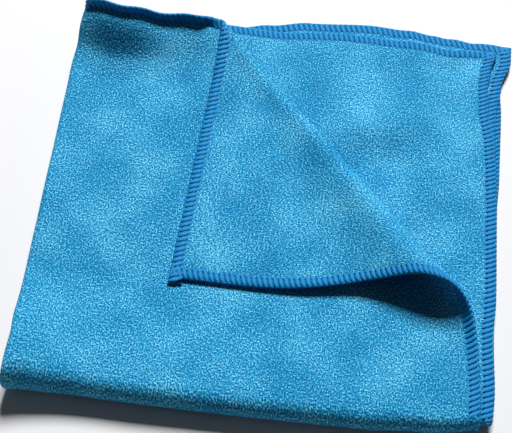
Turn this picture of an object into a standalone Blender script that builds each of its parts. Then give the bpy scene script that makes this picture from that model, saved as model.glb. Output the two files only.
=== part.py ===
"""A square microfibre cloth, folded in four, with the free corner of its top layer turned back.

The cloth is one flat square, cut by hand-placed lines where it has to bend. Every point of it is
then carried to its place in the folded pile, and the sheet gets its thickness last.

Flat places are (u, v), measured from the middle of the cloth. The first fold lies along u = 0 and
ends up at the left, the second lies along v = 0 and ends up at the front. From top to bottom the
pile holds four quarters: first (u > 0, v > 0), second (u < 0, v > 0), third (u < 0, v < 0) and
fourth (u > 0, v < 0).
"""

import math

import bmesh
import bpy
import numpy as np
from mathutils import Vector

MM = 0.001

# The cloth
HALF_SIDE = 200 * MM        # from the middle of the flat cloth to its hems
THICKNESS = 1.6 * MM
PITCH = 2.2 * MM            # from the middle of one pressed layer to the middle of the next
FLAT_CELL = 12.5 * MM       # widest step of the flat grid
SLIVER = 0.1 * MM           # a cut this close to a corner of a cell goes through the corner

# First fold, at the left
LEFT_EDGE = 0.8 * MM        # where the middle of the sheet turns
LEFT_BULGE = 1.6 * MM       # how much further the two layers stand apart at the fold
LEFT_BULGE_REACH = 14 * MM
LEFT_TUCK_REACH = 60 * MM   # how far behind the fold the offsets of LEFT_TUCK fade out

# Second fold, at the front: a loose roll, fat at the left and tight at the right
ROLL_DEPTH = 48 * MM        # the swell has died away this far behind the fold
LOOSENESS = 0.8 * MM        # air between the second and third layers

# Turned corner: the fold line runs from the back hem to the right hem of the top layer
TURN_START = (66.2 * MM, 200 * MM)
TURN_END = (200 * MM, 56.6 * MM)
LOOP_START = 19.0 * MM      # length of cloth in the loop at the back hem
LOOP_END = 110 * MM         # and at the right hem
LOOP_GROWTH = 1.8           # above 1 it stays narrow for longer and then opens quickly
LOOP_OVERRUN = 1.1          # it goes on widening up to this share of the fold line
LOOP_TURN = 0.42            # share of the loop that turns over; the rest comes down again
CORNER_PULL = (7.8 * MM, -7.0 * MM)    # how the free corner is drawn out of square
HEM_DRAW = 9.6 * MM         # the right hem is drawn in where it arches over
HEM_DRAW_PLACE = 92 * MM
HEM_DRAW_REACH = 37.5 * MM
LAYER_RISE_START = 0.1      # from this share of the loop on, the cloth climbs on to its own layer

# Back hem of the upper layers, which stands up at the left
PAIR_RAISE = (155 * MM, 187 * MM)    # the upper two layers climb between these places
TOP_RAISE = (167 * MM, 182 * MM)     # and the top one climbs further between these
HEM_CURL_WIDTH = 6 * MM              # the hem itself stands up over this width
HEM_CURL_ANGLE = math.radians(88)
HEM_CURL_END = (54 * MM, 66 * MM)    # it lies down again between these places along the hem
HEM_CURL_UNDER = (8 * MM, 30 * MM)   # and on the second layer between these

# How far the left fold is drawn in. Columns: place along the fold, offset (mm)
LEFT_TUCK = (
    (0, 1.3), (10, 2.1), (22, 2.2), (34, 1.2), (75, 0.5), (110, 0.0), (150, -0.45), (170, -0.8),
    (184, 0.6), (200, 2.2),
)

# Height that the front roll adds to the pressed pile. Columns: place along the fold, height (mm)
ROLL_SWELL = ((0, 7.8), (50, 5.2), (110, 4.2), (165, 3.2), (192, 1.3), (200, 1.0))

# Where the middle of the outer layer turns at the front. Columns: place along the fold, y (mm)
FRONT_LINE = (
    (0, -8.9), (12, -7.6), (30, -7.1), (60, -7.8), (100, -7.95), (150, -7.4), (170, -5.8),
    (200, -2.2),
)

# How far each layer's right hem stands out. Columns: place along the hem, offset (mm)
SIDE_HEMS = {
    "first": ((0, -4.5), (50, -7.1), (200, 0.0)),
    "second": (
        (0, 0.8), (16, 1.5), (42, 0.5), (60, 1.3), (105, 0.9), (125, 0.3), (140, -0.7), (165, -3.8),
        (178, -4.3), (188, -3.2), (200, -0.4),
    ),
    "third": (
        (0, 0.3), (22, 1.5), (70, 0.6), (130, 0.4), (160, 0.4), (175, 2.3), (192, 6.8), (205, 7.0),
    ),
    "fourth": ((0, -4.5), (45, 0.6), (100, 1.4), (128, 2.6), (163, 2.9), (200, 0.0)),
}

# How far each layer's back hem stands out. Columns: place along the hem, offset (mm)
BACK_HEMS = {
    "first": (
        (0, -3.6), (20, -5.8), (34, -3.8), (54, 0.1), (62, 1.3), (68, -0.3), (80, 0.0), (200, 0.0),
    ),
    "second": ((0, 1.0), (60, 1.5), (90, 1.6), (126, 4.1), (155, 2.7), (184, -2.9), (200, -4.6)),
    "third": (
        (0, 0.0), (70, 3.9), (88, 8.2), (106, 11.9), (135, 13.5), (153, 12.1), (164, 9.1),
        (173, 7.2), (184, 3.6), (200, 2.0),
    ),
    "fourth": ((0, 0.0), (100, 2.0), (200, -2.0)),
}

# Soft ridges and troughs of the upper two layers.
# Columns: x, y, half length, half width (mm), turn (degrees), height (mm)
SOFT_FORMS = (
    (150, 110, 90, 70, -45, 1.2),
    (145, 122, 18, 12, 20, -2.4),
    (147, 142, 20, 11, 10, 1.5),
    (181, 183, 13, 6, 25, -0.9),
    (155, 172, 16, 7, -20, -0.7),
    (14, 120, 28, 12, 90, -0.7),
    (14, 56, 26, 12, 80, -0.7),
)

# Where the top layer lifts off the second one. Columns as above
LIFTED_FORMS = (
    (80, 204, 42, 24, 0, 6.95),
)

# Where the turned-back corner stands off the cloth below. Columns as above
FLAP_FORMS = (
    (138, 50, 24, 26, 0, 2.8),
    (74, 188, 26, 16, 90, 3.0),
)

# How high the back hem stands up: the upper two layers, and the top one over that.
# Columns: place along the hem, height (mm)
RAISED_PAIR = ((-5, 7.0), (20, 7.0), (40, 5.0), (66, 2.0), (95, 0.0))
RAISED_TOP = ((-5, 5.0), (3, 6.0), (14, 8.3), (24, 7.4), (46, 1.8), (75, 0.0))

LAYERS = ("first", "second", "third", "fourth")

# Where the flat cloth is cut so that it can bend, as shares of each bend
LOOP_STRETCHES = (0.0, 0.28, 0.62, 1.0)     # along the corner's fold line
FIRST_FOLD_CUTS = (0.0, 0.5, 1.0, 2.2)
SECOND_FOLD_CUTS = (0.0, 0.18, 0.36, 0.57, 0.78, 1.0, 1.4, 2.2)
LOOP_CUTS = (0.0, 0.07, 0.14, 0.21, 0.28, 0.35, 0.42, 0.5, 0.6, 0.72, 0.85, 1.0)


def soft_step(share):
    """Rise from 0 to 1 with no slope at either end."""
    share = np.clip(share, 0.0, 1.0)
    return share * share * (3.0 - 2.0 * share)


def step_between(ends, place):
    """Rise from 0 at the first end to 1 at the second."""
    return soft_step((place - ends[0]) / (ends[1] - ends[0]))


def read_table(rows, place):
    """Value of a two-column table in millimetres, eased from row to row."""
    stations = [row[0] * MM for row in rows]
    values = [row[1] * MM for row in rows]
    result = np.full_like(place, values[0])
    for index in range(len(rows) - 1):
        share = (place - stations[index]) / (stations[index + 1] - stations[index])
        result += (values[index + 1] - values[index]) * soft_step(share)
    return result


def soft_forms(rows, x, y):
    """Summed height of the soft ridges and troughs of a table."""
    total = np.zeros_like(x)
    for centre_x, centre_y, half_length, half_width, turn, height in rows:
        angle = math.radians(turn)
        dx = x / MM - centre_x
        dy = y / MM - centre_y
        along = (dx * math.cos(angle) + dy * math.sin(angle)) / half_length
        across = (dy * math.cos(angle) - dx * math.sin(angle)) / half_width
        total += height * MM * np.exp(-along * along - across * across)
    return total


def layer_heights(x, y):
    """Middle heights of the four layers, from the first (top) to the fourth (bottom)."""
    left = np.exp(-((x - LEFT_EDGE) / LEFT_BULGE_REACH) ** 2)
    pair = PITCH + LEFT_BULGE * left
    back_off = soft_step(y / ROLL_DEPTH)
    swell = read_table(ROLL_SWELL, x) * (1 - back_off)
    fourth = np.full_like(x, THICKNESS / 2)
    third = fourth + pair
    second = third + PITCH + LOOSENESS * back_off + swell + soft_forms(SOFT_FORMS, x, y) * back_off
    second += read_table(RAISED_PAIR, x) * step_between(PAIR_RAISE, y)
    first = second + pair + soft_forms(LIFTED_FORMS, x, y)
    first += read_table(RAISED_TOP, x) * step_between(TOP_RAISE, y)
    return first, second, third, fourth


def loop_section():
    """Unit-length section of the turned corner's loop, seen along its fold line.

    Returns its stations, how far it reaches past its start, and its height. The sheet turns a
    little more than half round and then comes down to lie flat, which fixes the extra turn.
    """
    station = np.linspace(0.0, 1.0, 401)
    step = station[1]

    def path(extra_turn):
        over = (math.pi + extra_turn) * soft_step(station / LOOP_TURN)
        down = extra_turn * soft_step((station - LOOP_TURN) / (1.0 - LOOP_TURN))
        heading = over - down
        reach = np.concatenate(([0.0], np.cumsum(np.cos((heading[1:] + heading[:-1]) / 2)))) * step
        height = np.concatenate(([0.0], np.cumsum(np.sin((heading[1:] + heading[:-1]) / 2)))) * step
        return reach, height

    low, high = 0.0, math.pi / 2
    for _ in range(40):
        middle = (low + high) / 2
        if path(middle)[1][-1] > 0.0:
            low = middle
        else:
            high = middle
    reach, height = path(middle)
    return station, reach, height


LOOP_STATION, LOOP_REACH, LOOP_HEIGHT = loop_section()
LOOP_CENTRE = (LOOP_REACH[-1] + 1.0) / 2    # share of the loop that lies before the fold line


def turn_directions():
    """Unit vectors along the corner's fold line and across it, and the line's length."""
    along = Vector(TURN_END) - Vector(TURN_START)
    length = along.length
    along.normalize()
    across = Vector((-along.y, along.x))
    return along, across, length


def loop_length(place):
    """Length of cloth in the loop, at a place along the fold line from 0 to 1."""
    return LOOP_START + (LOOP_END - LOOP_START) * np.clip(place, 0, LOOP_OVERRUN) ** LOOP_GROWTH


def turned_corner(u, v):
    """Turn the corner of the first quarter back over its fold line.

    Returns the new place in the quarter and the height above the quarter.
    """
    towards_corner = (u / HALF_SIDE) * (v / HALF_SIDE)
    drawn = HEM_DRAW * np.exp(-((v - HEM_DRAW_PLACE) / HEM_DRAW_REACH) ** 2) * (u / HALF_SIDE) ** 3
    a = u + CORNER_PULL[0] * towards_corner - drawn
    b = v + CORNER_PULL[1] * towards_corner
    along, across, length = turn_directions()
    da = a - TURN_START[0]
    db = b - TURN_START[1]
    t = da * along.x + db * along.y
    n = da * across.x + db * across.y
    loop = loop_length(t / length)
    share = n / loop + LOOP_CENTRE
    inside = np.clip(share, 0.0, 1.0)
    before = np.minimum(share, 0.0)
    beyond = np.maximum(share - 1.0, 0.0)
    reach = np.interp(inside, LOOP_STATION, LOOP_REACH) + before - beyond
    height = np.interp(inside, LOOP_STATION, LOOP_HEIGHT) * loop
    new_n = (reach - LOOP_CENTRE) * loop
    a = TURN_START[0] + t * along.x + new_n * across.x
    b = TURN_START[1] + t * along.y + new_n * across.y
    turned_over = step_between((LAYER_RISE_START, 1.0), inside)
    height += (PITCH + soft_forms(FLAP_FORMS, a, b)) * turned_over
    return a, b, height


def hem_curl(u, v):
    """How far the standing back hem draws a point in, and how high it lifts it."""
    share = np.clip((v - HALF_SIDE) / HEM_CURL_WIDTH + 1, 0, 1)
    bent = np.minimum(share, 0.5)       # it bends over the first half and is straight after that
    straight = share - bent
    bend = 2 * HEM_CURL_ANGLE
    run = np.sin(bend * bent) / bend + straight * math.cos(HEM_CURL_ANGLE)
    rise = (1 - np.cos(bend * bent)) / bend + straight * math.sin(HEM_CURL_ANGLE)
    fading = np.where(u < 0, step_between(HEM_CURL_UNDER, -u), step_between(HEM_CURL_END, u))
    width = HEM_CURL_WIDTH * (1 - fading)
    return width * (share - run), width * rise


def fold(u, v):
    """Carry flat places (u, v) to the middle of the folded sheet, as x, y and z arrays."""
    outer = u >= 0.0
    upper = v >= 0.0
    a = np.abs(u)
    b = np.abs(v)
    rise = np.zeros_like(u)
    corner = outer & upper
    a[corner], b[corner], rise[corner] = turned_corner(u[corner], v[corner])

    # First fold: a hairpin that opens to the right
    radius = (PITCH + LEFT_BULGE) / 2
    angle = np.minimum(a / radius, math.pi / 2)
    flat_run = np.maximum(a - radius * math.pi / 2, 0.0)
    x = LEFT_EDGE + radius * (1 - np.cos(angle)) + flat_run
    x += read_table(LEFT_TUCK, b) * (1 - soft_step(a / LEFT_TUCK_REACH))
    side = np.where(outer, 1.0, -1.0) * np.sin(angle)
    for name, chosen in zip(LAYERS, (corner, ~outer & upper, ~outer & ~upper, outer & ~upper)):
        x[chosen] += (read_table(SIDE_HEMS[name], b) * (a / HALF_SIDE) ** 2)[chosen]

    # Second fold: the two layers turn together about the front line
    front_heights = layer_heights(x, np.zeros_like(x))
    top = (front_heights[0] + front_heights[1]) / 2
    top_half = (front_heights[0] - front_heights[1]) / 2
    bottom = (front_heights[2] + front_heights[3]) / 2
    bottom_half = (front_heights[2] - front_heights[3]) / 2
    middle_radius = (top - bottom) / 2
    turn_radius = middle_radius + side * (top_half + bottom_half) / 2
    outer_radius = middle_radius + (top_half + bottom_half) / 2
    centre_y = read_table(FRONT_LINE, x) + outer_radius
    turn = np.minimum(b / middle_radius, math.pi / 2)
    run = np.maximum(b - middle_radius * math.pi / 2, 0.0)
    y = centre_y - turn_radius * np.cos(turn) + run
    for name, chosen in zip(LAYERS, (corner, ~outer & upper, ~outer & ~upper, outer & ~upper)):
        y[chosen] += (read_table(BACK_HEMS[name], a) * (b / HALF_SIDE) ** 2)[chosen]

    first, second, third, fourth = layer_heights(x, run)
    above = (first + second) / 2 + side * (first - second) / 2
    below = (third + fourth) / 2 - side * (third - fourth) / 2
    way = np.where(upper, 1.0, -1.0) * np.sin(turn)
    z = (above + below) / 2 + way * (above - below) / 2 + rise
    drawn_in, lifted = hem_curl(u, v)
    return x, y - drawn_in, z + lifted


def bend_lines():
    """Distances from the middle at which the flat cloth is cut for its two straight folds."""
    left_arc = (PITCH + LEFT_BULGE) / 2 * math.pi / 2
    front_arc = (2 * PITCH + ROLL_SWELL[0][1] * MM) / 2 * math.pi / 2
    first_fold = [left_arc * share for share in FIRST_FOLD_CUTS]
    second_fold = [front_arc * share for share in SECOND_FOLD_CUTS]
    return first_fold, second_fold


def fill_to_hem(lines):
    """Add even steps from the last fold line to the hem."""
    count = math.ceil((HALF_SIDE - lines[-1]) / FLAT_CELL)
    step = (HALF_SIDE - lines[-1]) / count
    return lines + [lines[-1] + step * (index + 1) for index in range(count)]


def cut_sheet(bm, point, normal, faces):
    """Cut faces of the sheet with a plane through a point."""
    edges = {edge for face in faces for edge in face.edges}
    verts = {vert for face in faces for vert in face.verts}
    bmesh.ops.bisect_plane(bm, geom=list(verts) + list(edges) + list(faces), dist=SLIVER,
                           plane_co=point, plane_no=normal)


def first_quarter(bm):
    """Faces of the quarter that ends up on top."""
    return [face for face in bm.faces if min(face.calc_center_median().xy) > 0.0]


def faces_beside(bm, stretch):
    """Faces of the first quarter that lie beside a stretch of the corner's fold line."""
    along, _, length = turn_directions()
    lowest = -1.0 if stretch[0] == LOOP_STRETCHES[0] else stretch[0]
    highest = 2.0 if stretch[1] == LOOP_STRETCHES[-1] else stretch[1]
    return [face for face in first_quarter(bm)
            if lowest < (face.calc_center_median().xy - Vector(TURN_START)).dot(along) / length < highest]


def flat_cloth():
    """The flat square with every line along which it has to bend."""
    bm = bmesh.new()
    bmesh.ops.create_grid(bm, x_segments=1, y_segments=1, size=HALF_SIDE)
    first_fold, second_fold = bend_lines()
    for normal, lines in (((1, 0, 0), first_fold), ((0, 1, 0), second_fold)):
        for line in fill_to_hem(lines)[:-1]:
            for sign in ((1,) if line == 0.0 else (1, -1)):
                point = [sign * line * part for part in normal]
                cut_sheet(bm, point, normal, list(bm.faces))

    # The loop of the turned corner bends along curved lines, cut in straight stretches
    along, across, length = turn_directions()
    for place in LOOP_STRETCHES[1:-1]:
        point = Vector(TURN_START) + along * length * place
        cut_sheet(bm, (*point, 0), (*along, 0), first_quarter(bm))
    for stretch in zip(LOOP_STRETCHES, LOOP_STRETCHES[1:]):
        for share in LOOP_CUTS:
            start, end = (
                Vector(TURN_START) + along * length * place
                + across * float(loop_length(place)) * (share - LOOP_CENTRE)
                for place in stretch
            )
            line = end - start
            cut_sheet(bm, (*start, 0), (-line.y, line.x, 0), faces_beside(bm, stretch))
    bmesh.ops.triangulate(bm, faces=first_quarter(bm))
    return bm


def make_cloth():
    """Fold the flat cloth and give it its thickness."""
    bm = flat_cloth()
    flat = np.array([vert.co[:] for vert in bm.verts])
    x, y, z = fold(flat[:, 0].copy(), flat[:, 1].copy())
    for vert, place in zip(bm.verts, zip(x, y, z)):
        vert.co = place
    mesh = bpy.data.meshes.new("cloth")
    bm.to_mesh(mesh)
    bm.free()
    cloth = bpy.data.objects.new("cloth", mesh)
    bpy.context.scene.collection.objects.link(cloth)
    mesh.shade_smooth()
    wall = cloth.modifiers.new("thickness", "SOLIDIFY")
    wall.thickness = THICKNESS
    wall.offset = 0.0
    return cloth


def centre_on_floor(cloth):
    """Put the origin under the middle of the cloth's box."""
    view = bpy.context.evaluated_depsgraph_get()
    corners = [Vector(corner) for corner in cloth.evaluated_get(view).bound_box]
    middle_x = (min(c.x for c in corners) + max(c.x for c in corners)) / 2
    middle_y = (min(c.y for c in corners) + max(c.y for c in corners)) / 2
    for vert in cloth.data.vertices:
        vert.co.x -= middle_x
        vert.co.y -= middle_y


def fibre_material():
    """Matt azure microfibre."""
    material = bpy.data.materials.new("azure_microfibre")
    material.use_nodes = True
    shader = material.node_tree.nodes["Principled BSDF"]
    shader.inputs["Base Color"].default_value = (0.03, 0.29, 0.62, 1.0)
    shader.inputs["Roughness"].default_value = 0.9
    shader.inputs["Metallic"].default_value = 0.0
    return material


def main():
    for thing in list(bpy.data.objects):
        bpy.data.objects.remove(thing, do_unlink=True)
    cloth = make_cloth()
    centre_on_floor(cloth)
    cloth.data.materials.append(fibre_material())


main()
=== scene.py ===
import bpy
import math
import numpy as np
from mathutils import Matrix, Vector


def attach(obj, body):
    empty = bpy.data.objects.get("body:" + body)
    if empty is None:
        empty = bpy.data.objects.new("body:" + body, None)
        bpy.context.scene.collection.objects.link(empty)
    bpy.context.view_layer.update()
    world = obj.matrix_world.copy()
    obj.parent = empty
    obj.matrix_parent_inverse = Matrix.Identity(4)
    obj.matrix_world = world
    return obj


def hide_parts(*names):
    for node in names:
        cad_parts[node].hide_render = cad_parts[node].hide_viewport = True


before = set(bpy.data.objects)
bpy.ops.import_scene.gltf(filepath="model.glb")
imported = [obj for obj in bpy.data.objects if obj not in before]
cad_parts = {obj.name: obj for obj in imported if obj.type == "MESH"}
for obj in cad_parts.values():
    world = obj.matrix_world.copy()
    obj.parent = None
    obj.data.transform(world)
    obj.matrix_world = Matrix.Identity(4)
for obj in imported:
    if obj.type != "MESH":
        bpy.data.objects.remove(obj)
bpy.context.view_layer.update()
mm = 0.001


# ---- small helpers for work in the viewport

def deselectAll():
    if bpy.context.mode != "OBJECT":
        bpy.ops.object.mode_set(mode="OBJECT")
    bpy.ops.object.select_all(action="DESELECT")


def pickOnly(thing):
    deselectAll()
    thing.select_set(True)
    bpy.context.view_layer.objects.active = thing


def readPoints(thing):
    points = np.empty(len(thing.data.vertices) * 3)
    thing.data.vertices.foreach_get("co", points)
    return points.reshape(-1, 3)


def writePoints(thing, points):
    thing.data.vertices.foreach_set("co", np.ascontiguousarray(points).ravel())
    thing.data.update()


# ---- camera: the photograph's view, 512 x 433

cameraValues = {
    "turn": 5.3,                  # degrees round the cloth
    "rise": 57.7,                 # degrees above the table
    "roll": 1.5,
    "distance": 582,              # mm
    "aim": (-8.2, -7.5, 0.0),     # mm
    "lens": 91.44,
    "sensor": 36,
    "nearest": 20,                # mm from the lens that it starts to see
}


def addCamera(values):
    turn, rise, roll = (math.radians(values[key]) for key in ("turn", "rise", "roll"))
    back = Vector((math.sin(turn) * math.cos(rise), -math.cos(turn) * math.cos(rise), math.sin(rise)))
    level = Vector((math.cos(turn), math.sin(turn), 0))
    upright = back.cross(level)
    right = level * math.cos(roll) + upright * math.sin(roll)
    up = upright * math.cos(roll) - level * math.sin(roll)
    deselectAll()
    bpy.ops.object.camera_add()
    camera = bpy.context.object
    camera.name = "camera"
    turned = Matrix((right, up, back)).transposed().to_4x4()
    place = (Vector(values["aim"]) + back * values["distance"]) * mm
    camera.matrix_world = Matrix.Translation(place) @ turned
    camera.data.sensor_width = values["sensor"]
    camera.data.lens = values["lens"]
    camera.data.clip_start = values["nearest"] * mm
    bpy.context.scene.camera = camera


addCamera(cameraValues)
print("camera placed")


# ---- how the flat cloth lies folded; all lengths in mm
# u and v are measured on the flat cloth from its middle

foldValues = {
    "halfSide": 200, "thickness": 1.6,
    "pitch": 2.2,                         # from one pressed layer to the next
    "middle": (102.960, 97.655),          # of the folded cloth's box
    "leftEdge": 0.8, "leftBulge": 1.6, "leftBulgeReach": 14, "leftTuckReach": 60,
    "rollDepth": 48, "looseness": 0.8,
    "turnStart": (66.2, 200), "turnEnd": (200, 56.6),     # fold line of the turned corner
    "loopStart": 19, "loopEnd": 110, "loopGrowth": 1.8, "loopOverrun": 1.1, "loopTurn": 0.42,
    "cornerPull": (7.8, -7.0),
    "hemDraw": 9.6, "hemDrawPlace": 92, "hemDrawReach": 37.5,
    "layerRiseStart": 0.1,
    "pairRaise": (155, 187), "topRaise": (167, 182),
    "slopeStep": 0.25,                    # over which the sheet's slope is measured
    "curlWidth": 6, "curlAngle": math.radians(88), "curlEnd": (54, 66), "curlUnder": (8, 30),
}

leftTuck = ((0, 1.3), (10, 2.1), (22, 2.2), (34, 1.2), (75, 0.5), (110, 0.0), (150, -0.45), (170, -0.8),
            (184, 0.6), (200, 2.2))                         # place along the left fold, offset
# place along the front fold, height over the pressed layers
rollSwell = ((0, 7.8), (50, 5.2), (110, 4.2), (165, 3.2), (192, 1.3), (200, 1.0))
# place along the front fold, y of the outer layer
frontLine = ((0, -8.9), (12, -7.6), (30, -7.1), (60, -7.8), (100, -7.95), (150, -7.4), (170, -5.8),
             (200, -2.2))

sideHems = {                                    # place along the right hem, offset
    "first": ((0, -4.5), (50, -7.1), (200, 0.0)),
    "second": ((0, 0.8), (16, 1.5), (42, 0.5), (60, 1.3), (105, 0.9), (125, 0.3), (140, -0.7), (165, -3.8),
               (178, -4.3), (188, -3.2), (200, -0.4)),
    "third": ((0, 0.3), (22, 1.5), (70, 0.6), (130, 0.4), (160, 0.4), (175, 2.3), (192, 6.8), (205, 7.0)),
    "fourth": ((0, -4.5), (45, 0.6), (100, 1.4), (128, 2.6), (163, 2.9), (200, 0.0)),
}

backHems = {                                    # place along the back hem, offset
    "first": ((0, -3.6), (20, -5.8), (34, -3.8), (54, 0.1), (62, 1.3), (68, -0.3), (80, 0.0), (200, 0.0)),
    "second": ((0, 1.0), (60, 1.5), (90, 1.6), (126, 4.1), (155, 2.7), (184, -2.9), (200, -4.6)),
    "third": ((0, 0.0), (70, 3.9), (88, 8.2), (106, 11.9), (135, 13.5), (153, 12.1), (164, 9.1), (173, 7.2),
              (184, 3.6), (200, 2.0)),
    "fourth": ((0, 0.0), (100, 2.0), (200, -2.0)),
}

# soft ridges and troughs of the upper two layers
# x, y, half length, half width, turn in degrees, height; the next two tables are alike
softForms = (
    (150, 110, 90, 70, -45, 1.2),
    (145, 122, 18, 12, 20, -2.4),
    (147, 142, 20, 11, 10, 1.5),
    (181, 183, 13, 6, 25, -0.9),
    (155, 172, 16, 7, -20, -0.7),
    (14, 120, 28, 12, 90, -0.7),
    (14, 56, 26, 12, 80, -0.7),
)
# where the top layer lifts off the second one
liftedForms = (
    (80, 204, 42, 24, 0, 6.95),
)
# where the turned-back corner stands off the cloth below
flapForms = (
    (138, 50, 24, 26, 0, 2.8),
    (74, 188, 26, 16, 90, 3.0),
)

# the back hem stands up at the left
# place along it, height of the upper two layers, and height of the top one over that
raisedPair = ((-5, 7.0), (20, 7.0), (40, 5.0), (66, 2.0), (95, 0.0))
raisedTop = ((-5, 5.0), (3, 6.0), (14, 8.3), (24, 7.4), (46, 1.8), (75, 0.0))

layerNames = ("first", "second", "third", "fourth")


def softStep(share):
    share = np.clip(share, 0.0, 1.0)
    return share * share * (3.0 - 2.0 * share)


def stepBetween(ends, place):
    return softStep((place - ends[0]) / (ends[1] - ends[0]))


def readTable(rows, place):
    result = np.full_like(place, rows[0][1])
    for (startPlace, startValue), (endPlace, endValue) in zip(rows, rows[1:]):
        result += (endValue - startValue) * softStep((place - startPlace) / (endPlace - startPlace))
    return result


def heightOf(forms, x, y):
    total = np.zeros_like(x)
    for centreX, centreY, halfLength, halfWidth, turn, height in forms:
        angle = math.radians(turn)
        along = ((x - centreX) * math.cos(angle) + (y - centreY) * math.sin(angle)) / halfLength
        across = ((y - centreY) * math.cos(angle) - (x - centreX) * math.sin(angle)) / halfWidth
        total += height * np.exp(-along * along - across * across)
    return total


def layerHeights(x, y, f=foldValues):
    pair = f["pitch"] + f["leftBulge"] * np.exp(-((x - f["leftEdge"]) / f["leftBulgeReach"]) ** 2)
    backOff = softStep(y / f["rollDepth"])
    swell = readTable(rollSwell, x) * (1 - backOff)
    fourth = np.full_like(x, f["thickness"] / 2)
    third = fourth + pair
    second = third + f["pitch"] + f["looseness"] * backOff + swell + heightOf(softForms, x, y) * backOff
    second += readTable(raisedPair, x) * stepBetween(f["pairRaise"], y)
    first = second + pair + heightOf(liftedForms, x, y)
    first += readTable(raisedTop, x) * stepBetween(f["topRaise"], y)
    return first, second, third, fourth


def loopSection(loopTurn):
    # the turned corner's loop seen along its fold line, for one unit of cloth
    station = np.linspace(0.0, 1.0, 401)

    def path(extraTurn):
        heading = ((math.pi + extraTurn) * softStep(station / loopTurn)
                   - extraTurn * softStep((station - loopTurn) / (1.0 - loopTurn)))
        between = (heading[1:] + heading[:-1]) / 2
        reach = np.concatenate(([0.0], np.cumsum(np.cos(between)))) * station[1]
        height = np.concatenate(([0.0], np.cumsum(np.sin(between)))) * station[1]
        return reach, height

    low, high = 0.0, math.pi / 2
    for _ in range(40):               # the sheet comes down exactly on itself
        middle = (low + high) / 2
        if path(middle)[1][-1] > 0.0:
            low = middle
        else:
            high = middle
    return (station, *path(middle))


loopStation, loopReach, loopHeight = loopSection(foldValues["loopTurn"])
loopCentre = (loopReach[-1] + 1.0) / 2


def turnCorner(u, v, f=foldValues):
    # turns the corner of the top quarter back over its fold line
    side = f["halfSide"]
    towardsCorner = (u / side) * (v / side)
    drawn = f["hemDraw"] * np.exp(-((v - f["hemDrawPlace"]) / f["hemDrawReach"]) ** 2) * (u / side) ** 3
    a = u + f["cornerPull"][0] * towardsCorner - drawn
    b = v + f["cornerPull"][1] * towardsCorner
    start = Vector(f["turnStart"])
    along = Vector(f["turnEnd"]) - start
    length = along.length
    along.normalize()
    t = (a - start.x) * along.x + (b - start.y) * along.y
    n = (b - start.y) * along.x - (a - start.x) * along.y
    widening = np.clip(t / length, 0, f["loopOverrun"]) ** f["loopGrowth"]
    loop = f["loopStart"] + (f["loopEnd"] - f["loopStart"]) * widening
    share = n / loop + loopCentre
    inside = np.clip(share, 0.0, 1.0)
    reach = np.interp(inside, loopStation, loopReach)
    reach += np.minimum(share, 0.0) - np.maximum(share - 1.0, 0.0)
    height = np.interp(inside, loopStation, loopHeight) * loop
    newN = (reach - loopCentre) * loop
    x = start.x + t * along.x - newN * along.y
    y = start.y + t * along.y + newN * along.x
    height += (f["pitch"] + heightOf(flapForms, x, y)) * stepBetween((f["layerRiseStart"], 1.0), inside)
    return x, y, height


def curlHem(u, v, f=foldValues):
    # how far the standing back hem draws a point in, and how high it lifts it
    share = np.clip((v - f["halfSide"]) / f["curlWidth"] + 1, 0, 1)
    bent = np.minimum(share, 0.5)
    straight = share - bent
    bend = 2 * f["curlAngle"]
    run = np.sin(bend * bent) / bend + straight * math.cos(f["curlAngle"])
    rise = (1 - np.cos(bend * bent)) / bend + straight * math.sin(f["curlAngle"])
    fading = np.where(u < 0, stepBetween(f["curlUnder"], -u), stepBetween(f["curlEnd"], u))
    width = f["curlWidth"] * (1 - fading)
    return width * (share - run), width * rise


def foldPoints(u, v, f=foldValues):
    # from the flat cloth to the middle of the folded sheet
    outer = u >= 0.0
    upper = v >= 0.0
    a = np.abs(u)
    b = np.abs(v)
    rise = np.zeros_like(u)
    corner = outer & upper
    a[corner], b[corner], rise[corner] = turnCorner(u[corner], v[corner])
    quarters = dict(zip(layerNames, (corner, ~outer & upper, ~outer & ~upper, outer & ~upper)))

    # first fold, at the left
    radius = (f["pitch"] + f["leftBulge"]) / 2
    angle = np.minimum(a / radius, math.pi / 2)
    x = f["leftEdge"] + radius * (1 - np.cos(angle)) + np.maximum(a - radius * math.pi / 2, 0.0)
    x += readTable(leftTuck, b) * (1 - softStep(a / f["leftTuckReach"]))
    side = np.where(outer, 1.0, -1.0) * np.sin(angle)
    for name, chosen in quarters.items():
        x[chosen] += (readTable(sideHems[name], b) * (a / f["halfSide"]) ** 2)[chosen]

    # second fold, at the front
    first, second, third, fourth = layerHeights(x, np.zeros_like(x))
    halfGaps = (first - second + third - fourth) / 2
    middleRadius = (first + second - third - fourth) / 4
    centreY = readTable(frontLine, x) + middleRadius + halfGaps / 2
    turn = np.minimum(b / middleRadius, math.pi / 2)
    run = np.maximum(b - middleRadius * math.pi / 2, 0.0)
    y = centreY - (middleRadius + side * halfGaps / 2) * np.cos(turn) + run
    for name, chosen in quarters.items():
        y[chosen] += (readTable(backHems[name], a) * (b / f["halfSide"]) ** 2)[chosen]

    first, second, third, fourth = layerHeights(x, run)
    above = (first + second) / 2 + side * (first - second) / 2
    below = (third + fourth) / 2 - side * (third - fourth) / 2
    way = np.where(upper, 1.0, -1.0) * np.sin(turn)
    z = (above + below) / 2 + way * (above - below) / 2 + rise
    drawnIn, lifted = curlHem(u, v)
    return np.stack((x - f["middle"][0], y - drawnIn - f["middle"][1], z + lifted), axis=1)


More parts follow.
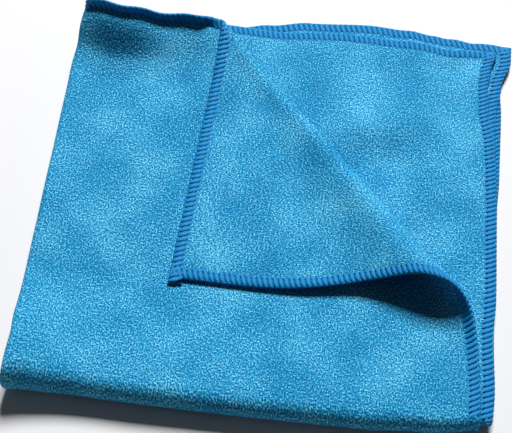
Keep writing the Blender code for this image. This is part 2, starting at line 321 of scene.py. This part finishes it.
def foldSolid(flat):
    # a point at height z over the flat cloth goes to that height over the folded one
    u, v, z = flat.T
    step = foldValues["slopeStep"]
    place = foldPoints(u.copy(), v.copy())
    alongU = foldPoints(u + step, v.copy()) - foldPoints(u - step, v.copy())
    alongV = foldPoints(u.copy(), v + step) - foldPoints(u.copy(), v - step)
    normal = np.cross(alongU, alongV)
    normal /= np.linalg.norm(normal, axis=1)[:, None]
    return place + normal * z[:, None]


# ---- the cloth

clothValues = {
    # start, end and cell size of the grid lines across and along the flat cloth
    "linesAcross": ((-200, -194, 1.0), (-194, -6, 2.3), (-6, 6, 0.75), (6, 54, 2.2), (54, 84, 1.0),
                    (84, 194, 2.2), (194, 200, 1.0)),
    "linesAlong": ((-200, -194, 1.0), (-194, -10, 2.3), (-10, 10, 1.1), (10, 184, 2.2), (184, 200, 1.0)),
    "hemShare": 0.68,         # thickness left under the overlock
    "hemWidth": 6.0,
    "hemBlend": 2.0,
}


def gridLines(rows):
    places = [float(rows[0][0])]
    for start, end, cell in rows:
        count = round((end - start) / cell)
        places += [start + (end - start) * (index + 1) / count for index in range(count)]
    return np.array(places)


def addFlatGrid(name, linesAcross, linesAlong):
    cellsAcross = len(linesAcross) - 1
    cellsAlong = len(linesAlong) - 1
    deselectAll()
    bpy.ops.mesh.primitive_grid_add(x_subdivisions=cellsAcross, y_subdivisions=cellsAlong, size=2)
    grid = bpy.context.object
    grid.name = name
    points = readPoints(grid)
    column = np.rint((points[:, 0] + 1) / 2 * cellsAcross).astype(int)
    row = np.rint((points[:, 1] + 1) / 2 * cellsAlong).astype(int)
    return grid, np.stack((linesAcross[column], linesAlong[row], np.zeros(len(points))), axis=1)


def storeFlatPlace(thing, flat):
    # the UV map holds the place on the flat cloth, one unit to its whole side
    side = 2 * foldValues["halfSide"]
    loops = np.empty(len(thing.data.loops), dtype=np.int32)
    thing.data.loops.foreach_get("vertex_index", loops)
    if not thing.data.uv_layers:
        thing.data.uv_layers.new(name="UVMap")
    thing.data.uv_layers[0].data.foreach_set("uv", (flat[loops, :2] / side + 0.5).ravel())


def makeCloth(values):
    linesAcross = gridLines(values["linesAcross"])
    linesAlong = gridLines(values["linesAlong"])
    cloth, flat = addFlatGrid("foldedCloth", linesAcross, linesAlong)
    storeFlatPlace(cloth, flat)
    writePoints(cloth, foldSolid(flat) * mm)
    fromHem = foldValues["halfSide"] - np.abs(flat[:, :2]).max(axis=1)
    share = values["hemShare"] + (1 - values["hemShare"]) * softStep(
        (fromHem - values["hemWidth"] + values["hemBlend"]) / values["hemBlend"])
    wall = cloth.vertex_groups.new(name="wall")
    for amount in np.unique(np.round(share, 3)):
        wall.add(np.flatnonzero(np.round(share, 3) == amount).tolist(), float(amount), "REPLACE")
    pickOnly(cloth)
    thick = cloth.modifiers.new("thickness", "SOLIDIFY")
    thick.thickness = foldValues["thickness"] * mm
    thick.offset = 0
    thick.vertex_group = "wall"
    bpy.ops.object.modifier_apply(modifier=thick.name)
    bpy.ops.object.shade_smooth()
    return cloth


# ---- overlock along the four hems

overlockValues = {
    "pitch": 2.45,            # length of a stitch
    "slant": 2.8,             # how far a stroke moves on between the needle line and the edge
    # inward from the edge, height over the middle of the cloth, half width and half height of the yarn
    "path": ((6.2, 0.42, 0.20, 0.10), (5.7, 0.52, 1.40, 0.22), (4.1, 0.50, 1.20, 0.20),
             (2.8, 0.50, 2.20, 0.30), (1.1, 0.50, 1.45, 0.30), (0.15, 0.38, 1.42, 0.28)),
    "rim": (-0.25, 0.0, 1.36, 0.26),
    "sides": 5,
    "weld": 0.001,            # points closer than this are one
}


def mirrored(values):
    # the path on the face, round the edge and back on the reverse
    face = values["path"]
    back = tuple((inward, -height, *size) for inward, height, *size in reversed(face))
    return np.array((*face, values["rim"], *back))


def makeStroke(values):
    # one yarn stroke: a strip of the grid is rolled up to a tube that follows the path
    path = mirrored(values)
    deselectAll()
    bpy.ops.mesh.primitive_grid_add(x_subdivisions=len(path) - 1, y_subdivisions=values["sides"], size=2)
    stroke = bpy.context.object
    stroke.name = "stroke"
    points = readPoints(stroke)
    station = np.rint((points[:, 0] + 1) / 2 * (len(path) - 1)).astype(int)
    angle = (points[:, 1] + 1) * math.pi
    middle = path[:, :2]
    heading = np.gradient(middle, axis=0)
    heading /= np.linalg.norm(heading, axis=1)[:, None]
    outward = np.stack((heading[:, 1], -heading[:, 0]), axis=1)
    ends = (station == 0) | (station == len(path) - 1)
    wide = np.where(ends, 0.0, path[station, 2]) * np.sin(angle)
    tall = np.where(ends, 0.0, path[station, 3]) * np.cos(angle)
    placed = middle[station] + outward[station] * tall[:, None]
    share = np.clip(middle[:, 0] / middle[0, 0], 0, 1)
    ahead = values["slant"] * np.where(np.arange(len(path)) < len(path) // 2, -share, share)[station] + wide
    writePoints(stroke, np.stack((ahead, placed[:, 0], placed[:, 1]), axis=1))
    pickOnly(stroke)
    bpy.ops.object.mode_set(mode="EDIT")
    bpy.ops.mesh.select_all(action="SELECT")
    bpy.ops.mesh.remove_doubles(threshold=values["weld"])
    bpy.ops.mesh.normals_make_consistent(inside=False)
    bpy.ops.object.mode_set(mode="OBJECT")
    return stroke


def hemRows():
    # start of each hem on the flat cloth, its direction and the way inward, in sewing order
    side = foldValues["halfSide"]
    return (((side, -side), (0, 1), (-1, 0)), ((side, side), (-1, 0), (0, -1)),
            ((-side, side), (0, -1), (1, 0)), ((-side, -side), (1, 0), (0, 1)))


def sewAlong(thing, values, extra=(0, 0, 0, 0)):
    # copies the flat shape to every stitch of the four hems and folds it with the cloth;
    # extra gives the stitches that each hem has before its corner
    shape = readPoints(thing)
    side = 2 * foldValues["halfSide"]
    count = round(side / values["pitch"])
    pitch = side / count
    flats = []
    for (start, forward, inward), overrun in zip(hemRows(), extra):
        for index in range(-overrun, count + 1):
            ahead = np.clip(shape[:, 0] + index * pitch, -overrun * pitch, side)
            flats.append(np.stack((start[0] + forward[0] * ahead + inward[0] * shape[:, 1],
                                   start[1] + forward[1] * ahead + inward[1] * shape[:, 1],
                                   shape[:, 2]), axis=1))
    faces = [tuple(face.vertices) for face in thing.data.polygons]
    flat = np.concatenate(flats)
    allFaces = [tuple(corner + index * len(shape) for corner in face)
                for index in range(len(flats)) for face in faces]
    sewn = bpy.data.meshes.new(thing.name)
    sewn.from_pydata((foldSolid(flat) * mm).tolist(), [], allFaces)
    thing.data = sewn
    storeFlatPlace(thing, flat)
    pickOnly(thing)
    bpy.ops.object.mode_set(mode="EDIT")
    bpy.ops.mesh.select_all(action="SELECT")
    bpy.ops.mesh.normals_make_consistent(inside=False)
    bpy.ops.object.mode_set(mode="OBJECT")
    bpy.ops.object.shade_smooth()
    return thing


# ---- materials

pileValues = {
    "deep": (0.0, 0.10, 0.26), "middle": (0.0, 0.25, 0.50), "tip": (0.22, 0.68, 0.90),
    "stops": (0.37, 0.51, 0.66),    # places of these colours on the ramp
    "grain": 620,                   # grain cells over the cloth's side
    "grainDetail": 1.0, "grainRoughness": 0.6,
    "stretch": 0.8,                 # the grain runs along the cloth
    "patch": 16,                    # brushed patches over the cloth's side
    "patchDetail": 3.0, "patchShare": 0.2,
    "relief": 0.8, "reliefDepth": 0.0007,
    "roughness": 0.6, "specular": 0.08,
}


def addNode(tree, kind, place, **settings):
    node = tree.nodes.new(kind)
    node.location = place
    for name, value in settings.items():
        setattr(node, name, value)
    return node


def makePile(name, values):
    pile = bpy.data.materials.new(name)
    pile.use_nodes = True
    tree = pile.node_tree
    shader = tree.nodes["Principled BSDF"]
    flatPlace = addNode(tree, "ShaderNodeUVMap", (-1500, 0))
    flatPlace.uv_map = "UVMap"
    along = addNode(tree, "ShaderNodeMapping", (-1300, 0))
    along.inputs["Scale"].default_value = (1, values["stretch"], 1)
    tree.links.new(flatPlace.outputs["UV"], along.inputs["Vector"])
    grain = addNode(tree, "ShaderNodeTexNoise", (-1100, 100))
    grain.inputs["Scale"].default_value = values["grain"]
    grain.inputs["Detail"].default_value = values["grainDetail"]
    grain.inputs["Roughness"].default_value = values["grainRoughness"]
    tree.links.new(along.outputs["Vector"], grain.inputs["Vector"])
    patch = addNode(tree, "ShaderNodeTexNoise", (-1100, -200))
    patch.inputs["Scale"].default_value = values["patch"]
    patch.inputs["Detail"].default_value = values["patchDetail"]
    tree.links.new(flatPlace.outputs["UV"], patch.inputs["Vector"])
    both = addNode(tree, "ShaderNodeMix", (-880, 0), data_type="FLOAT")
    both.inputs[0].default_value = values["patchShare"]
    tree.links.new(grain.outputs["Fac"], both.inputs[2])
    tree.links.new(patch.outputs["Fac"], both.inputs[3])
    colour = addNode(tree, "ShaderNodeValToRGB", (-660, 0))
    colour.color_ramp.elements[0].position = values["stops"][0]
    colour.color_ramp.elements[0].color = (*values["deep"], 1)
    colour.color_ramp.elements[1].position = values["stops"][2]
    colour.color_ramp.elements[1].color = (*values["tip"], 1)
    colour.color_ramp.elements.new(values["stops"][1]).color = (*values["middle"], 1)
    tree.links.new(both.outputs[0], colour.inputs["Fac"])
    tree.links.new(colour.outputs["Color"], shader.inputs["Base Color"])
    relief = addNode(tree, "ShaderNodeBump", (-400, -300))
    relief.inputs["Strength"].default_value = values["relief"]
    relief.inputs["Distance"].default_value = values["reliefDepth"]
    tree.links.new(grain.outputs["Fac"], relief.inputs["Height"])
    tree.links.new(relief.outputs["Normal"], shader.inputs["Normal"])
    shader.inputs["Roughness"].default_value = values["roughness"]
    shader.inputs["Specular IOR Level"].default_value = values["specular"]
    return pile


threadValues = {
    "shade": (0.0, 0.13, 0.36), "light": (0.004, 0.24, 0.54),
    "stops": (0.35, 0.65),
    "fibres": 900, "fibreDetail": 1.5,
    "relief": 0.3, "reliefDepth": 0.0002,
    "roughness": 0.6, "specular": 0.2,
}


def makeThread(name, values):
    thread = bpy.data.materials.new(name)
    thread.use_nodes = True
    tree = thread.node_tree
    shader = tree.nodes["Principled BSDF"]
    flatPlace = addNode(tree, "ShaderNodeUVMap", (-1100, 0))
    flatPlace.uv_map = "UVMap"
    fibres = addNode(tree, "ShaderNodeTexNoise", (-880, 0))
    fibres.inputs["Scale"].default_value = values["fibres"]
    fibres.inputs["Detail"].default_value = values["fibreDetail"]
    tree.links.new(flatPlace.outputs["UV"], fibres.inputs["Vector"])
    colour = addNode(tree, "ShaderNodeValToRGB", (-660, 0))
    colour.color_ramp.elements[0].position = values["stops"][0]
    colour.color_ramp.elements[0].color = (*values["shade"], 1)
    colour.color_ramp.elements[1].position = values["stops"][1]
    colour.color_ramp.elements[1].color = (*values["light"], 1)
    tree.links.new(fibres.outputs["Fac"], colour.inputs["Fac"])
    tree.links.new(colour.outputs["Color"], shader.inputs["Base Color"])
    relief = addNode(tree, "ShaderNodeBump", (-400, -300))
    relief.inputs["Strength"].default_value = values["relief"]
    relief.inputs["Distance"].default_value = values["reliefDepth"]
    tree.links.new(fibres.outputs["Fac"], relief.inputs["Height"])
    tree.links.new(relief.outputs["Normal"], shader.inputs["Normal"])
    shader.inputs["Roughness"].default_value = values["roughness"]
    shader.inputs["Specular IOR Level"].default_value = values["specular"]
    return thread


cloth = makeCloth(clothValues)
cloth.data.materials.append(makePile("azurePile", pileValues))
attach(cloth, "root")
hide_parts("cloth")
print("cloth folded:", len(cloth.data.polygons), "faces")

overlock = sewAlong(makeStroke(overlockValues), overlockValues, extra=(0, 1, 0, 0))
overlock.name = "overlockYarn"
overlock.data.materials.append(makeThread("azureYarn", threadValues))
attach(overlock, "root")
print("overlock sewn:", len(overlock.data.polygons), "faces")


# ---- floor and light

studioValues = {
    "floor": (0.68, 0.68, 0.69), "floorSize": 6, "floorRoughness": 0.8,
    "keyPower": 143, "keySize": 0.85, "keyPlace": (0.10, 1.85, 2.20),
    "skyStrength": 0.055,
}


def addStudio(values):
    deselectAll()
    bpy.ops.mesh.primitive_plane_add(size=values["floorSize"], location=(0, 0, 0))
    floor = bpy.context.object
    floor.name = "floor"
    paper = bpy.data.materials.new("palePaper")
    paper.use_nodes = True
    shader = paper.node_tree.nodes["Principled BSDF"]
    shader.inputs["Base Color"].default_value = (*values["floor"], 1)
    shader.inputs["Roughness"].default_value = values["floorRoughness"]
    floor.data.materials.append(paper)
    deselectAll()
    bpy.ops.object.light_add(type="AREA", location=values["keyPlace"])
    key = bpy.context.object
    key.name = "keyLight"
    key.data.energy = values["keyPower"]
    key.data.size = values["keySize"]
    key.rotation_euler = Vector(values["keyPlace"]).to_track_quat("Z", "Y").to_euler()
    sky = bpy.data.worlds.new("studio")
    sky.use_nodes = True
    sky.node_tree.nodes["Background"].inputs["Color"].default_value = (1, 1, 1, 1)
    sky.node_tree.nodes["Background"].inputs["Strength"].default_value = values["skyStrength"]
    bpy.context.scene.world = sky
    bpy.context.scene.view_settings.view_transform = "Standard"     # keeps the strong blue


addStudio(studioValues)
print("studio lit")
